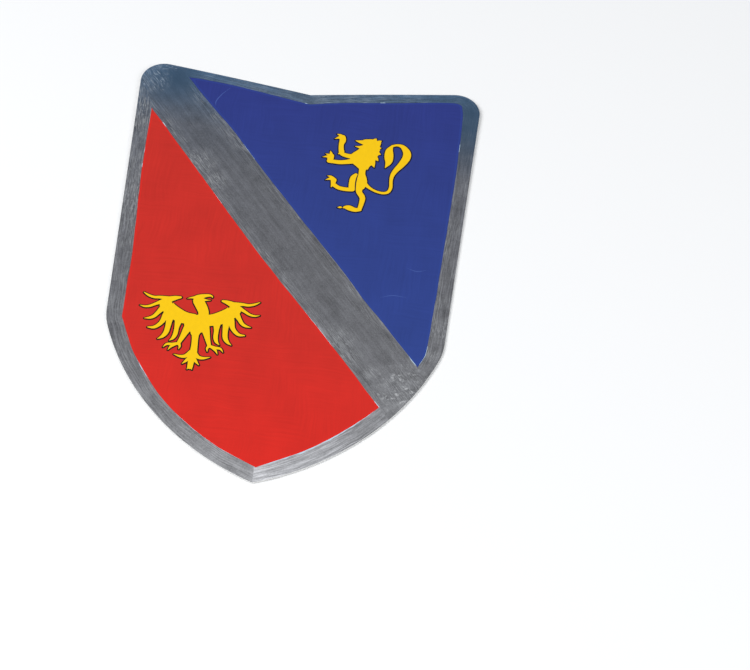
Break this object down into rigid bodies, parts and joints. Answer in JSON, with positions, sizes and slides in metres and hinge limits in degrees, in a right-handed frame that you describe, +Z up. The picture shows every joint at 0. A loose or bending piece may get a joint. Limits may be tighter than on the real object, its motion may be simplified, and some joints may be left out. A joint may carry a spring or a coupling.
{
  "type": "craft card heater shield",
  "caption": "Toy heater shield die-cut from flat card, hand painted with a silver border and bend between a red field with an eagle and a blue field with a lion.",
  "frame": {"origin": "on the surface that the sheet lies on, under the middle of its outline's box", "axes": "+X to the viewer's right, +Y from the point to the notched top edge, +Z up, out of the painted face"},
  "size_m": [0.297, 0.42, 0.0034],
  "materials": {
    "white_card": "matte"
  },
  "bodies": {
    "root": {"card_shield": "white_card"}
  },
  "joints": []
}
